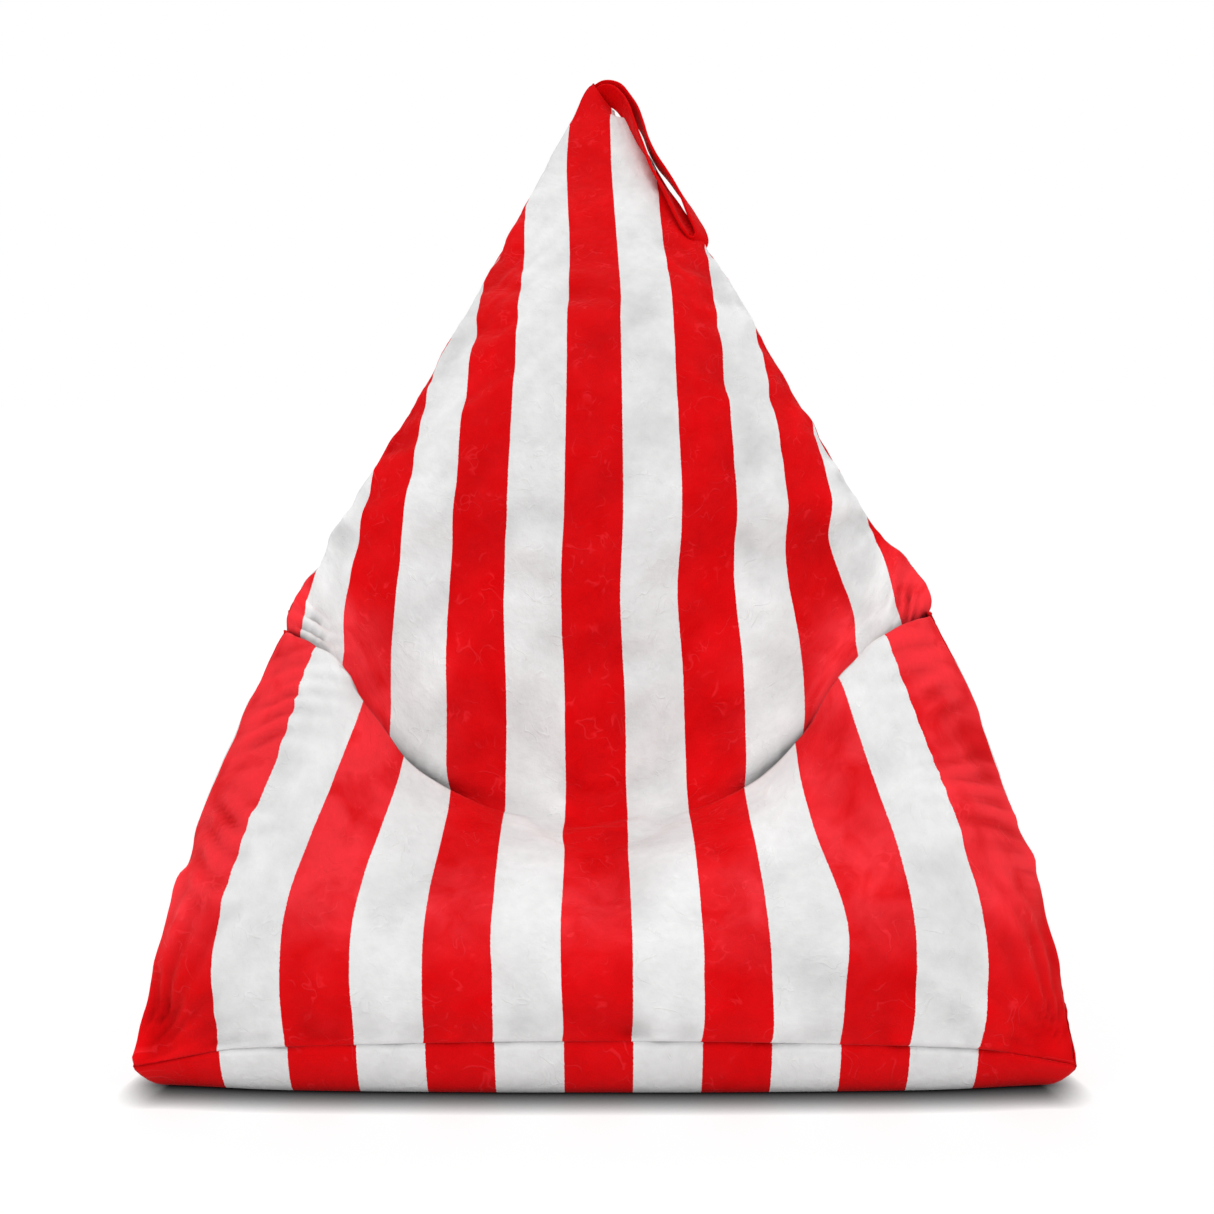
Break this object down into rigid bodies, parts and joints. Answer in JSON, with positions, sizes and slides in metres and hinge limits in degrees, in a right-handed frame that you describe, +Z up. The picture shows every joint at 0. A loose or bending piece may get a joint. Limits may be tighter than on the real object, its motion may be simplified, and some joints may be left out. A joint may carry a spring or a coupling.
{
  "type": "bean bag chair",
  "caption": "Pyramid bean bag chair in striped fabric with a pressed-in seat, a back seam zip, an inner liner of beads and a strap handle at its tip.",
  "frame": {"origin": "centre of the bounding box in plan, on the floor", "axes": "+Z up; -Y is the front, the way a seated person faces; +X is the chair's right side as seen from the front"},
  "size_m": [0.9628, 1.0139, 1.1853],
  "materials": {
    "cover_fabric": "short-pile polyester velvet printed with red and white stripes 70 mm wide",
    "strap_fabric": "folded and topstitched strap of the red cover fabric",
    "liner_fabric": "thin white spunbond liner",
    "beads": "expanded polystyrene beads",
    "zip_tape": "woven zip tape and coil, dyed red",
    "zip_metal": "satin nickel",
    "liner_zip": "white nylon coil and tape"
  },
  "bodies": {
    "chair": {"front_panel": "cover_fabric", "right_back_panel": "cover_fabric", "left_back_panel": "cover_fabric", "base_panel": "cover_fabric", "zip_tape_right": "zip_tape", "zip_tape_left": "zip_tape", "zip_chain": "zip_tape", "zip_bottom_stop": "zip_metal", "zip_top_stop": "zip_metal", "liner_zip_tape_right": "liner_zip", "liner_zip_tape_left": "liner_zip", "liner_zip_chain": "liner_zip", "liner_zip_bottom_stop": "liner_zip", "liner_zip_top_stop": "liner_zip", "inner_liner": "liner_fabric", "bead_fill": "beads", "handle_tails": "strap_fabric"},
    "handle": {"carry_handle": "strap_fabric"},
    "slider": {"zip_slider": "zip_metal"},
    "pull": {"zip_pull": "zip_metal"},
    "liner_slider": {"liner_zip_slider": "liner_zip"}
  },
  "joints": [
    {"name": "handle_swing", "type": "hinge", "parent": "chair", "child": "handle", "pos_m": [0.0084, 0.32732, 1.1865], "axis": [-0.8207, -0.5714, 0], "range_deg": [0, 136]},
    {"name": "zip_open", "type": "slide", "parent": "chair", "child": "slider", "axis": [0, -0.0599, 0.9982], "range_m": [0, 0.426]},
    {"name": "pull_flip", "type": "hinge", "parent": "slider", "child": "pull", "pos_m": [0, 0.50492, 0.16619], "axis": [1, 0, 0], "range_deg": [0, 170]},
    {"name": "liner_zip_open", "type": "slide", "parent": "chair", "child": "liner_slider", "axis": [0, -0.0599, 0.9982], "range_m": [0, 0.426]}
  ]
}
